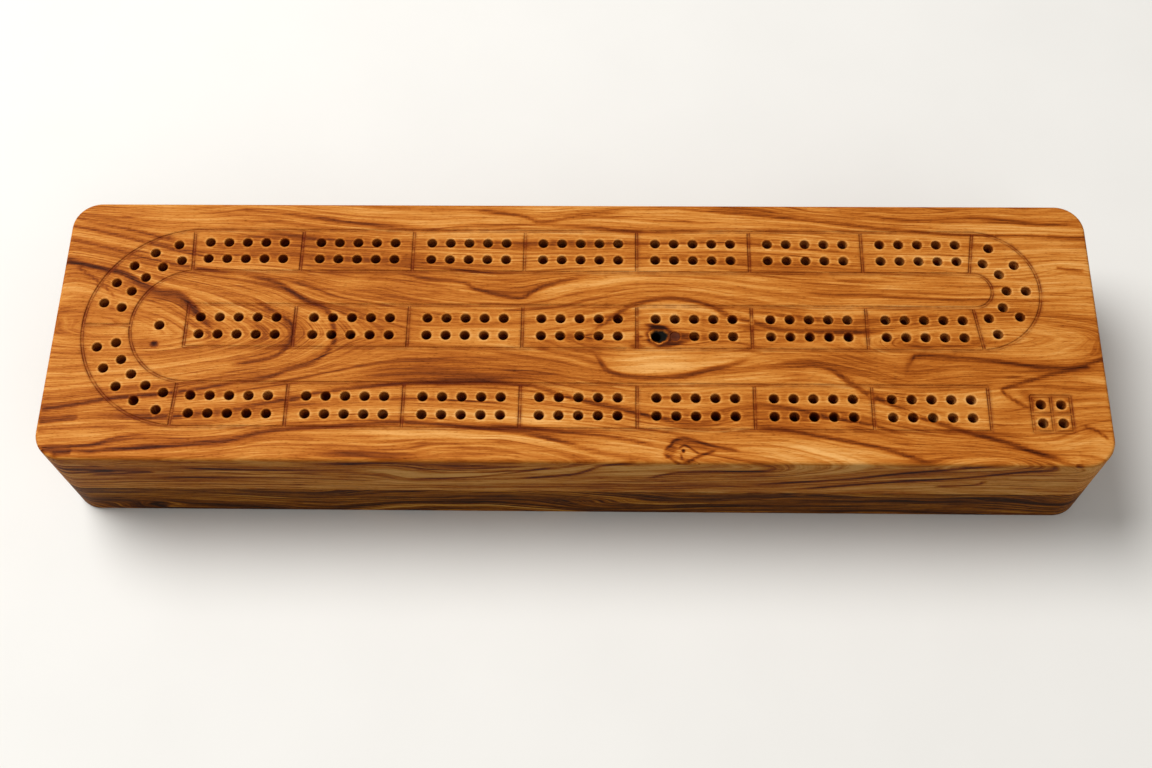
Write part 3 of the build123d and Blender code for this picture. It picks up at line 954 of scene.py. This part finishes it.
@dataclass
class PlayingBoard:
    """The upper board: rounded top edges, engraved track, drilled peg holes and its figure."""

    length: float = 346.0
    width: float = 95.5
    top: float = 46.0
    bottom: float = 20.0
    corner_radius: float = 9.5
    arris_radius: float = 1.2
    seam_break: float = 0.15
    hole_radius: float = 1.6
    rim: float = 0.28
    hole_depth: float = 10.4
    drill_point: float = 0.6
    hole_sides: int = 20
    line_half: float = 0.62
    line_floor_half: float = 0.36
    line_depth: float = 0.25
    corner_steps: int = 12
    arris_steps: int = 5
    side_steps: int = 39
    border_step: float = 1.15
    weld: float = 0.004
    grid: float = 0.95
    fine_grid: float = 0.38
    edge_margin: float = 0.5
    line_margin: float = 0.25
    hole_margin: float = 0.3
    figure_stretch: float = 0.45
    figure_slack: float = 1.2
    streak_depth: float = 1.3
    # Depth over which the holes darken further: painted shade.
    burn_and_shade_depth: float = 3.0
    fine_spots: tuple = ((30.0, -2.6, 9.0, 5.5), (39.5, -43.4, 12.0, 5.0))
    layout: TrackLayout = field(default_factory=TrackLayout)
    knot: BranchKnot = field(default_factory=BranchKnot)
    finish: OliveWood = OliveWood("figured olive wood", figured=True)

    def outline(self, inset: float) -> np.ndarray:
        """The board's outline, anticlockwise, in steps of about a millimetre.

        Args:
            inset: how far inside the board's own outline.

        Returns:
            Points, always as many and in the same order.
        """
        turn = np.radians(np.linspace(0, 90, self.corner_steps + 1))
        radius = self.corner_radius - inset
        corner = np.stack([np.cos(turn), np.sin(turn)], 1) * radius
        x, y = self.length / 2 - self.corner_radius, self.width / 2 - self.corner_radius
        quarter = np.array([[0, -1], [1, 0]])
        spin = np.eye(2)
        ends, points = [], []
        for centre in ((x, y), (-x, y), (-x, -y), (x, -y)):
            ends.append(np.array(centre) + corner @ spin.T)
            spin = quarter @ spin
        for here, after in zip(ends, ends[1:] + ends[:1]):
            points.append(here)
            gap = np.hypot(*(after[0] - here[-1]))
            count = int(round((self.length if gap > self.width else self.width) / self.border_step))
            share = np.linspace(0, 1, count + 1)[1:-1, None]
            points.append(here[-1] + (after[0] - here[-1]) * share)
        return np.vstack(points)

    def nearest_line(self, points: np.ndarray) -> tuple[np.ndarray, np.ndarray]:
        """The nearest engraved line to each point.

        Args:
            points: places on the top.

        Returns:
            How far each lies from that line's centre, and how far the line runs across the
            grain, from 0 to 1.
        """
        best = np.full(len(points), 99.0)
        crossing = np.zeros(len(points))
        for run in self.layout.lines():
            knots = np.array(run)
            low, high = knots.min(0) - 2, knots.max(0) + 2
            near = np.where(((points > low) & (points < high)).all(1))[0]
            for a, b in zip(knots, knots[1:]):
                step = b - a
                share = np.clip((points[near] - a) @ step / (step @ step), 0, 1)
                away = np.hypot(*(points[near] - a - share[:, None] * step).T)
                closer = away < best[near]
                best[near[closer]] = away[closer]
                crossing[near[closer]] = abs(step[1]) / np.hypot(*step)
        return best, crossing

    def hole_distance(self, points: np.ndarray) -> np.ndarray:
        """How far each point lies from the nearest peg hole's centre.

        Args:
            points: places on the top.

        Returns:
            The distances.
        """
        best = np.full(len(points), 99.0)
        for centre in self.layout.holes():
            best = np.minimum(best, np.hypot(*(points - centre).T))
        return best

    def playing_face(self) -> bpy.types.Mesh:
        """The top as one mesh, with the lines let in and round openings for the holes.

        Returns:
            The mesh.
        """
        rim_radius = self.hole_radius + self.rim
        border = self.outline(self.arris_radius)
        half_x, half_y = self.length / 2 - self.arris_radius, self.width / 2 - self.arris_radius
        spread = self.scatter(-half_x, half_x, -half_y, half_y, self.grid)
        for x, y, reach_x, reach_y in self.fine_spots:
            spread = spread[np.hypot((spread[:, 0] - x) / reach_x, (spread[:, 1] - y) / reach_y) > 1]
            spot = self.scatter(x - reach_x, x + reach_x, y - reach_y, y + reach_y, self.fine_grid)
            inner = np.hypot((spot[:, 0] - x) / reach_x, (spot[:, 1] - y) / reach_y) < 1
            spread = np.vstack([spread, spot[inner]])
        turn_radius = self.corner_radius - self.arris_radius
        corner = np.maximum(np.abs(spread) - (half_x - turn_radius, half_y - turn_radius), 0)
        margin = self.edge_margin
        kept = np.hypot(*corner.T) < turn_radius - margin
        kept &= (np.abs(spread) < (half_x - margin, half_y - margin)).all(1)
        kept &= self.nearest_line(spread)[0] > self.line_half + self.line_margin
        kept &= self.hole_distance(spread) > rim_radius + self.hole_margin
        points = [border, spread[kept]]
        count = sum(len(part) for part in points)
        edges: list[tuple[int, int]] = [(i, (i + 1) % len(border)) for i in range(len(border))]
        turn = np.arange(self.hole_sides) * math.tau / self.hole_sides
        ring = np.stack([np.cos(turn), np.sin(turn)], 1) * rim_radius
        for centre in self.layout.holes():
            points.append(centre + ring)
            edges += [(count + i, count + (i + 1) % self.hole_sides) for i in range(self.hole_sides)]
            count += self.hole_sides
        edge, floor = self.line_half, self.line_floor_half
        for run in self.layout.lines():
            for offset in (edge, floor, 0.0, -floor, -edge):
                side = self.beside(run, offset)
                points.append(side)
                edges += [(count + i, count + i + 1) for i in range(len(side) - 1)]
                count += len(side)
        flat = [Vector(p) for p in np.vstack(points)]
        verts, _, faces, *_ = delaunay_2d_cdt(flat, edges, [], 0, 1e-5, False)
        places = np.array([tuple(v) for v in verts])
        middles = places[np.array(faces)].mean(1)
        # A face that fills a hole has its middle inside the hole's ring.
        outside = self.hole_distance(middles) > rim_radius * 0.978
        away = self.nearest_line(places)[0]
        sunk = np.clip((edge - away) / (edge - floor), 0, 1)
        solid = np.column_stack([places, self.top - self.line_depth * sunk])
        mesh = bpy.data.meshes.new("playing face")
        mesh.from_pydata((solid * MM).tolist(), [], np.array(faces)[outside].tolist())
        return mesh

    @staticmethod
    def scatter(x0: float, x1: float, y0: float, y1: float, step: float) -> np.ndarray:
        """Points over a rectangle, every other row shifted by half a step.

        Args:
            x0: its low side along.
            x1: its high side along.
            y0: its low side across.
            y1: its high side across.
            step: how far apart the points are.

        Returns:
            The points.
        """
        spread = np.stack(np.meshgrid(np.arange(x0, x1, step), np.arange(y0, y1, step * 0.87)), -1)
        spread[1::2, :, 0] += step / 2
        return spread.reshape(-1, 2)

    def beside(self, run: Points, offset: float) -> np.ndarray:
        """A run moved sideways, in steps of about two millimetres.

        Args:
            run: a line's points.
            offset: how far to its left.

        Returns:
            The moved points.
        """
        knots = np.array(run)
        if len(knots) == 2:
            count = max(2, int(np.hypot(*(knots[1] - knots[0])) / 2.0) + 1)
            knots = knots[0] + (knots[1] - knots[0]) * np.linspace(0, 1, count)[:, None]
        ahead = np.gradient(knots, axis=0)
        ahead /= np.hypot(*ahead.T)[:, None]
        return knots + np.stack([-ahead[:, 1], ahead[:, 0]], 1) * offset

    def skirt(self) -> bpy.types.Mesh:
        """The rounded arris, the four sides and the underside.

        Returns:
            The mesh.
        """
        rings = []
        for angle in np.radians(np.linspace(90, 0, self.arris_steps + 1)):
            inset = self.arris_radius * (1 - math.cos(angle))
            rings.append((inset, self.top - self.arris_radius * (1 - math.sin(angle))))
        lowest = self.bottom + self.seam_break
        heights = np.linspace(self.top - self.arris_radius, lowest, self.side_steps + 1)
        rings += [(0.0, z) for z in heights[1:]]
        rings.append((self.seam_break, self.bottom))
        count = len(self.outline(0.0))
        points = [np.column_stack([self.outline(inset), np.full(count, z)]) for inset, z in rings]
        faces = []
        for ring in range(len(rings) - 1):
            for i in range(count):
                j = (i + 1) % count
                a, b = ring * count, (ring + 1) * count
                faces.append((a + i, b + i, b + j, a + j))
        last = (len(rings) - 1) * count
        faces.append(tuple(range(last + count - 1, last - 1, -1)))
        mesh = bpy.data.meshes.new("skirt")
        mesh.from_pydata((np.vstack(points) * MM).tolist(), [], faces)
        return mesh

    def lining_tree(self) -> bpy.types.NodeTree:
        """Geometry Nodes that drill a chamfered, pointed lining below each point they are given.

        Returns:
            The tree.
        """
        tree = bpy.data.node_groups.new("peg hole linings", "GeometryNodeTree")
        sockets = {"Holes": "Geometry", "Sides": "Int", "Radius": "Float", "Rim": "Float", "Depth": "Float",
                   "Point": "Float", "Wood": "Material"}
        for name, kind in sockets.items():
            tree.interface.new_socket(name, in_out="INPUT", socket_type=f"NodeSocket{kind}")
        tree.interface.new_socket("Linings", in_out="OUTPUT", socket_type="NodeSocketGeometry")
        writer = TreeWriter(tree)
        given = writer.node("NodeGroupInput").outputs
        sizes = ("Radius", "Rim", "Depth", "Point")
        radius, rim, depth, point = (Number(writer, given[name]) for name in sizes)
        joined = writer.node("GeometryNodeJoinGeometry")
        shank_end = rim + depth
        for top, low, tall, down in (
            (radius + rim, radius, rim, rim),
            (radius, radius, depth, shank_end),
            (radius, 0.0, point, shank_end + point),
        ):
            sockets = {"Vertices": given["Sides"], "Radius Top": top, "Radius Bottom": low, "Depth": tall}
            cone = writer.node("GeometryNodeMeshCone", {"fill_type": "NONE"}, sockets)
            sunk = writer.node("ShaderNodeCombineXYZ", sockets={"Z": down * -1.0})
            sockets = {0: cone.outputs[0], "Translation": sunk.outputs[0]}
            writer.feed(joined, {0: writer.node("GeometryNodeTransform", sockets=sockets).outputs[0]})
        made = joined
        for kind, first, extra in (
            ("GeometryNodeMergeByDistance", 0, {"Distance": 1e-6}),
            ("GeometryNodeFlipFaces", 0, {}),
            ("GeometryNodeInstanceOnPoints", "Instance", {"Points": given["Holes"]}),
            ("GeometryNodeRealizeInstances", 0, {}),
            ("GeometryNodeSetMaterial", 0, {"Material": given["Wood"]}),
            ("NodeGroupOutput", 0, {}),
        ):
            made = writer.node(kind, sockets={first: made.outputs[0], **extra})
        return tree

    def linings(self, wood: bpy.types.Material) -> bpy.types.Mesh:
        """The insides of all the peg holes.

        Args:
            wood: their material.

        Returns:
            The mesh.
        """
        holes = self.layout.holes()
        points = np.column_stack([holes, np.full(len(holes), self.top)]) * MM
        mesh = bpy.data.meshes.new("hole centres")
        mesh.from_pydata(points.tolist(), [], [])
        piece = add_object("hole linings", mesh)
        modifier = piece.modifiers.new("linings", "NODES")
        modifier.node_group = self.lining_tree()
        values = {"Sides": self.hole_sides, "Radius": self.hole_radius * MM, "Rim": self.rim * MM,
                  "Depth": (self.hole_depth - self.rim - self.drill_point) * MM,
                  "Point": self.drill_point * MM, "Wood": wood}
        for item in modifier.node_group.interface.items_tree:
            if item.name in values and item.in_out == "INPUT":
                modifier[item.identifier] = values[item.name]
        settle(piece)
        mesh = piece.data
        bpy.data.objects.remove(piece)
        return mesh

    def growth_samples(self) -> np.ndarray:
        """Places where the growth field is known: along the streaks, and on the hidden faces.

        Returns:
            Rows of along, across, up and the level there.
        """
        samples = []
        for streak in (streak for streak in STREAKS if streak.level is not None):
            for u, v in streak.run(6.0):
                place = (u, v, self.top) if streak.face is Face.TOP else (u, -self.width / 2, self.top - v)
                samples.append((*place, streak.level))
        for x in np.linspace(-self.length / 2, self.length / 2, 12):
            samples += [(x, self.width / 2, self.top - down, level) for down, level in BACK_LEVELS]
            for y in np.linspace(-47, 47, 5):
                samples.append((x, y, self.bottom, 46 + 0.38 * y))
        samples += [(x, y, self.top, level) for x, y, level in BARE_PLACES]
        for x in np.linspace(-170, -70, 6):
            samples += [(x, -self.width / 2, self.top - down, level) for down, level in FRONT_LEVELS]
        return np.array(samples)

    def growth_field(self, points: np.ndarray) -> np.ndarray:
        """The growth field at some points: a smooth surface through the known places.

        Args:
            points: places on the board.

        Returns:
            The level at each.
        """
        samples = self.growth_samples()
        stretch = np.array([self.figure_stretch, 1.0, 1.0])
        known = samples[:, :3] * stretch
        count = len(known)
        kernel = np.linalg.norm(known[:, None] - known[None], axis=2)
        plane = np.column_stack([np.ones(count), known])
        system = np.zeros((count + 4, count + 4))
        system[:count, :count] = kernel - self.figure_slack * np.eye(count)
        system[:count, count:] = plane
        system[count:, :count] = plane.T
        weights = np.linalg.solve(system, np.append(samples[:, 3], np.zeros(4)))
        values = []
        for part in np.array_split(points * stretch, max(1, len(points) // 4000)):
            away = np.linalg.norm(part[:, None] - known[None], axis=2)
            values.append(away @ weights[:count] + weights[count] + part @ weights[count + 1:])
        return np.concatenate(values)

    def streak_mask(self, points: np.ndarray) -> np.ndarray:
        """How dark the drawn streaks make each point, from 0 to 1.

        Args:
            points: places on the board.

        Returns:
            The darkness of each.
        """
        light = np.ones(len(points))
        for streak in STREAKS:
            if streak.face is Face.TOP:
                flat, off = points[:, :2], self.top - points[:, 2]
            else:
                flat = np.column_stack([points[:, 0], self.top - points[:, 2]])
                off = points[:, 1] + self.width / 2
            run = streak.run()
            reach = 2.5 * streak.width + 2.5 * abs(streak.shade)
            low, high = run.min(0) - reach, run.max(0) + reach
            near = np.where(((flat > low) & (flat < high)).all(1) & (off < self.streak_depth))[0]
            if not len(near):
                continue
            away = flat[near][:, None] - run[None]
            nearest = np.linalg.norm(away, axis=2).argmin(1)
            ahead = np.gradient(run, axis=0)[nearest]
            gap = away[np.arange(len(near)), nearest]
            side = np.sign(ahead[:, 0] * gap[:, 1] - ahead[:, 1] * gap[:, 0])
            distance = np.hypot(*gap.T)
            place = nearest / (len(run) - 1)
            taper = smoothstep(-0.02, 0.14, place) * smoothstep(-0.02, 0.14, 1 - place)
            taper = np.where(np.abs(run[nearest, 0]) > 160, 1.0, taper)
            dark = np.exp(-((distance / (0.8 * streak.width)) ** 2))
            if streak.shade:
                smoke = 0.5 * np.exp(-distance / abs(streak.shade)) * (side * streak.shade > 0)
                dark = np.maximum(dark, smoke)
            light[near] *= 1 - streak.dark * dark * taper
        return 1 - light

    def patch_and_highlight_tone(self, points: np.ndarray) -> np.ndarray:
        """How much lighter or darker the broad patches, the knot and a painted highlight on each hole's
        chamfer make each point.

        Args:
            points: places on the board.

        Returns:
            The change of tone of each.
        """
        tone = np.zeros(len(points))
        # Paler cut wood and a painted highlight on the upper half of each hole's chamfer.
        gap = self.hole_distance(points[:, :2]) - self.hole_radius - self.rim
        tone[(gap < 0.05) & (points[:, 2] > self.top - self.rim * 0.5)] = 0.14
        tone += self.knot.tone(points) * (points[:, 2] > self.top - 3)
        for patch in PATCHES:
            turn = math.radians(patch.turn)
            dx, dy = points[:, 0] - patch.x, points[:, 1] - patch.y
            u = (dx * math.cos(turn) + dy * math.sin(turn)) / patch.half_x
            v = (dy * math.cos(turn) - dx * math.sin(turn)) / patch.half_y
            tone += patch.tone * np.exp(-((u * u + v * v) ** 2)) * (points[:, 2] > self.top - 3)
        return tone

    def burn_and_shade_mask(self, points: np.ndarray) -> np.ndarray:
        """How burnt the holes and lines are, from 0 to 1, with painted shade that deepens into the holes and
        darkens the lines that run across the board.

        Args:
            points: places on the board.

        Returns:
            The burn of each.
        """
        deep = self.top - points[:, 2]
        in_hole = self.hole_distance(points[:, :2]) < self.hole_radius + self.rim + 0.05
        # Drill burn inside the holes, darkening further with depth as painted shade.
        hole = np.interp(deep, (0.0, self.rim, self.burn_and_shade_depth), (0.0, 0.62, 0.88))
        away, crossing = self.nearest_line(points[:, :2])
        on_top = (deep < self.line_depth + 0.05) & (away < self.line_half + 0.1)
        places = (0, self.line_floor_half * 0.9, self.line_floor_half * 1.1, self.line_half)
        # Lines that run across the board are darker than those along it: painted shade on their walls.
        line = np.interp(away, places, (0.44, 1.0, 1.0, 0.42)) * (0.60 + 0.40 * crossing)
        return np.where(in_hole, hole, np.where(on_top, line, 0.0))

    def make(self) -> None:
        """Builds and dresses the board."""
        wood = self.finish.make()
        shell = bmesh.new()
        for mesh in (self.playing_face(), self.skirt(), self.linings(wood)):
            shell.from_mesh(mesh)
            bpy.data.meshes.remove(mesh)
        bmesh.ops.remove_doubles(shell, verts=shell.verts, dist=self.weld * MM)
        bmesh.ops.recalc_face_normals(shell, faces=shell.faces)
        open_edges = sum(1 for edge in shell.edges if len(edge.link_faces) != 2)
        log.info("playing board: %d edges that aren't shared by two faces", open_edges)
        for face in shell.faces:
            face.material_index = 0
        mesh = bpy.data.meshes.new("playing board")
        shell.to_mesh(mesh)
        shell.free()
        mesh.materials.clear()
        mesh.materials.append(wood)
        shade(mesh)
        places = np.empty(len(mesh.vertices) * 3)
        mesh.vertices.foreach_get("co", places)
        places = places.reshape(-1, 3) / MM
        char = self.knot.char(places) * (places[:, 2] > self.bottom + 5)
        sunk = places.copy()
        sunk[:, 2] -= self.knot.depth * char * (places[:, 2] > self.top - 1)
        mesh.vertices.foreach_set("co", (sunk * MM).astype(np.float32).ravel())
        for name, values in (
            ("growth", self.growth_field(places)),
            ("streak", self.streak_mask(places)),
            ("patch", self.patch_and_highlight_tone(places)),
            ("burn", self.burn_and_shade_mask(places)),
            ("char", char),
        ):
            mesh.attributes.new(name, "FLOAT", "POINT").data.foreach_set("value", values.astype(np.float32))
        piece = add_object("playing_board", mesh)
        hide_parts("top_board")
        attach(piece, "case")
        report(piece)
        self.knot.make()


# ---------------------------------------------------------------- the lower board and the drawer


@dataclass
class Joinery:
    """The lower board, and the drawer's wooden pieces with their sharp edges eased."""

    ease: float = 0.25
    segments: int = 2
    nodes: dict[str, str] = field(default_factory=lambda: {
        "drawer_front": "front",
        "drawer_left_side": "long",
        "drawer_right_side": "long",
        "drawer_back": "cross",
        "drawer_bottom": "long",
        "peg_divider": "cross",
        "card_divider": "cross",
    })

    def eased(self, node: str) -> bpy.types.Object:
        """A copy of a CAD node with its edges softly broken.

        Args:
            node: the CAD node's name.

        Returns:
            The piece that stands for it.
        """
        shell = bmesh.new()
        shell.from_mesh(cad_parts[node].data)
        bmesh.ops.remove_doubles(shell, verts=shell.verts, dist=1e-6)
        bmesh.ops.dissolve_limit(shell, angle_limit=0.002, verts=shell.verts, edges=shell.edges)
        mesh = bpy.data.meshes.new(node)
        shell.to_mesh(mesh)
        shell.free()
        piece = add_object(f"{node}_eased", mesh)
        bevel = piece.modifiers.new("ease", "BEVEL")
        bevel.width = self.ease * MM
        bevel.segments = self.segments
        bevel.limit_method = "ANGLE"
        bevel.angle_limit = math.radians(50)
        settle(piece)
        shade(piece.data, 40)
        return piece

    def make(self) -> None:
        """Builds and dresses every piece."""
        base = OliveWood("lower board olive wood", tone=-0.27, contrast=1.08, side_contrast=0.9,
                         colours=UMBER)
        front = OliveWood("drawer front olive wood", run=Run.CROSSWISE, tone=-0.10)
        light, dark = paint(222, 186, 136), paint(188, 142, 92)
        woods = {
            "front": front.make(),
            "long": PlainWood("drawer wood, lengthwise", light, dark).make(),
            "cross": PlainWood("drawer wood, crosswise", light, dark, Run.CROSSWISE).make(),
        }
        dress(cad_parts["lower_board"], base.make())
        for node, kind in self.nodes.items():
            piece = self.eased(node)
            dress(piece, woods[kind])
            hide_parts(node)
            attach(piece, "drawer")
            report(piece)


@dataclass
class Hardware:
    """The two disc magnets and the stop pin."""

    plating: Metal = Metal("nickel plating", paint(205, 204, 200), paint(168, 166, 162))
    brass: Metal = Metal("bare brass", paint(214, 178, 102), paint(158, 122, 62), 0.28)

    def make(self) -> None:
        """Dresses the CAD nodes."""
        plating, brass = self.plating.make(), self.brass.make()
        for node, finish in (("case_magnet", plating), ("drawer_magnet", plating), ("stop_pin", brass)):
            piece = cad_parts[node]
            dress(piece, finish)
            report(piece)


@dataclass
class Pegs:
    """The four turned pegs that lie in the drawer's front well."""

    length: float = 33.0
    shank_radius: float = 1.45
    shank_length: float = 14.0
    handle_radius: float = 2.4
    middle_x: float = 142.0
    floor: float = 7.25
    spacing: float = 13.0
    turns: dict[str, float] = field(default_factory=lambda: {
        "light_peg_1": 4.0,
        "light_peg_2": -6.0,
        "dark_peg_1": 7.0,
        "dark_peg_2": -3.0,
    })
    colours: dict[str, tuple] = field(default_factory=lambda: {
        "light": (paint(232, 200, 146), paint(200, 158, 102)),
        "dark": (paint(78, 46, 30), paint(42, 24, 17)),
    })
    sides: int = 32

    def profile(self) -> Points:
        """The turned shape, as (along from the tip, radius) pairs.

        Returns:
            The pairs, tip first.
        """
        r, h, s, n = self.shank_radius, self.handle_radius, self.shank_length, self.length
        tip = ((0, 0), (0.05, r - 0.35), (0.35, r), (s - 0.8, r), (s - 0.3, r * 0.95), (s, r + 0.05))
        collar = ((s + 0.12, h), (s + 1.2, h), (s + 1.5, h * 0.86), (s + 1.9, h * 0.8), (s + 2.3, h * 0.86),
                  (s + 2.6, h * 0.97))
        grip = ((s + 6.0, h * 0.9), (s + 10.0, h * 0.82), (n - 6.0, h * 0.8), (n - 5.4, h * 0.72))
        knob = ((n - 5.0, h * 0.74), (n - 4.4, h * 0.9), (n - 3.2, h), (n - 2.0, h * 0.98),
                (n - 0.9, h * 0.78), (n - 0.25, h * 0.42), (n, 0))
        return tip + collar + grip + knob

    def make_one(self, node: str, number: int, turn: float, wood: bpy.types.Material) -> bpy.types.Object:
        """Turns one peg and lays it in its place.

        Args:
            node: the CAD node that it stands for.
            number: its place in the row.
            turn: degrees that it lies askew.
            wood: its material.

        Returns:
            The peg.
        """
        tilt = math.atan((self.handle_radius - self.shank_radius) / self.shank_length)
        lay = Matrix.Rotation(math.radians(turn), 4, "Z") @ Matrix.Rotation(math.pi / 2 - tilt, 4, "Y")
        lay = lay @ Matrix.Translation((0, 0, -self.length / 2))
        low = -self.length / 2 * math.sin(tilt) - self.shank_radius * math.cos(tilt)
        y = (number - (len(self.turns) - 1) / 2) * self.spacing
        lay = Matrix.Translation((self.middle_x, y, self.floor - low)) @ lay
        points, faces = turned(self.profile(), self.sides)
        mesh = bpy.data.meshes.new(node)
        mesh.from_pydata([tuple((lay @ point) * MM) for point in points], [], faces)
        mesh.materials.append(wood)
        shade(mesh, 50)
        piece = add_object(f"{node}_turned", mesh)
        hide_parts(node)
        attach(piece, "drawer")
        return piece

    def make(self) -> None:
        """Builds and dresses the four pegs."""
        woods = {kind: PlainWood(f"{kind} peg wood", *colours, roughness=0.3).make()
                 for kind, colours in self.colours.items()}
        for number, (node, turn) in enumerate(self.turns.items()):
            kind = node.split("_")[0]
            piece = self.make_one(node, number, turn, woods[kind])
            report(piece)


# ---------------------------------------------------------------- the studio


@dataclass
class Studio:
    """The pale floor, the soft light and the camera, in metres."""

    floor_size: float = 6.0
    floor_gap: float = 0.00005
    eye: Place = (0.0119, -0.2266, 0.4892)
    right: Place = (0.99975, 0.01454, -0.01717)
    up: Place = (-0.00594, 0.90655, 0.42207)
    ahead: Place = (-0.02170, 0.42186, -0.90640)
    lens: float = 47.02
    lit_place: Place = (0.0, 0.0, 0.03)
    key_place: Place = (-0.85, 0.5, 1.5)
    key_size: float = 1.2
    key_power: float = 33.5
    fill_place: Place = (0.5, -0.95, 0.9)
    fill_size: float = 1.0
    fill_power: float = 2.68
    sky: float = 0.26

    def make_floor(self) -> None:
        """A plain pale floor that bounces less light than it shows."""
        half = self.floor_size / 2
        mesh = bpy.data.meshes.new("floor")
        corners = [(x * half, y * half, -self.floor_gap) for x, y in ((-1, -1), (1, -1), (1, 1), (-1, 1))]
        mesh.from_pydata(corners, [], [(0, 1, 2, 3)])
        writer = ShaderWriter("pale floor")
        x, y, _ = writer.millimetres()
        mottle = writer.noise(x * 0.02, y * 0.02, 0.0, 3.0)
        pale = writer.mixed(mottle, paint(238, 236, 231), paint(232, 230, 225))
        rays = writer.node("ShaderNodeLightPath").outputs
        seen = Number(writer, rays["Is Camera Ray"]) + Number(writer, rays["Is Glossy Ray"])
        seen = seen + Number(writer, rays["Is Transmission Ray"])
        colour = writer.mixed(seen, paint(128, 130, 112), pale)
        mesh.materials.append(writer.finish(colour, 0.9))
        floor = add_object("floor", mesh)

    def make_light(self) -> None:
        """A large soft lamp above and behind, a weak one in front, and a dim sky."""
        for name, place, size, power in (
            ("key", self.key_place, self.key_size, self.key_power),
            ("fill", self.fill_place, self.fill_size, self.fill_power),
        ):
            lamp = bpy.data.lights.new(name, "AREA")
            lamp.shape = "DISK"
            lamp.size = size
            lamp.energy = power
            holder = bpy.data.objects.new(name, lamp)
            holder.location = place
            towards = Vector(self.lit_place) - Vector(place)
            holder.rotation_euler = towards.to_track_quat("-Z", "Y").to_euler()
            bpy.context.scene.collection.objects.link(holder)
        world = bpy.data.worlds.new("soft sky")
        world.use_nodes = True
        background = world.node_tree.nodes["Background"]
        background.inputs["Color"].default_value = (1.0, 0.98, 0.95, 1.0)
        background.inputs["Strength"].default_value = self.sky
        bpy.context.scene.world = world

    def make_camera(self) -> None:
        """The camera, at the photograph's viewing angle."""
        data = bpy.data.cameras.new("camera")
        data.sensor_width = 36.0
        data.lens = self.lens
        data.clip_start = 0.01
        holder = bpy.data.objects.new("camera", data)
        turn = Matrix((self.right, self.up, [-a for a in self.ahead])).transposed().to_4x4()
        holder.matrix_world = Matrix.Translation(self.eye) @ turn
        bpy.context.scene.collection.objects.link(holder)
        bpy.context.scene.camera = holder

    def make(self) -> None:
        """Sets everything up."""
        self.make_floor()
        self.make_light()
        self.make_camera()
        bpy.context.scene.view_settings.view_transform = "Standard"


def main() -> None:
    """Builds the whole scene."""
    logging.basicConfig(level=logging.INFO, format="%(name)s: %(message)s", stream=sys.stdout)
    Studio().make()
    PlayingBoard().make()
    Joinery().make()
    Hardware().make()
    Pegs().make()


if __name__ == "__main__":
    main()
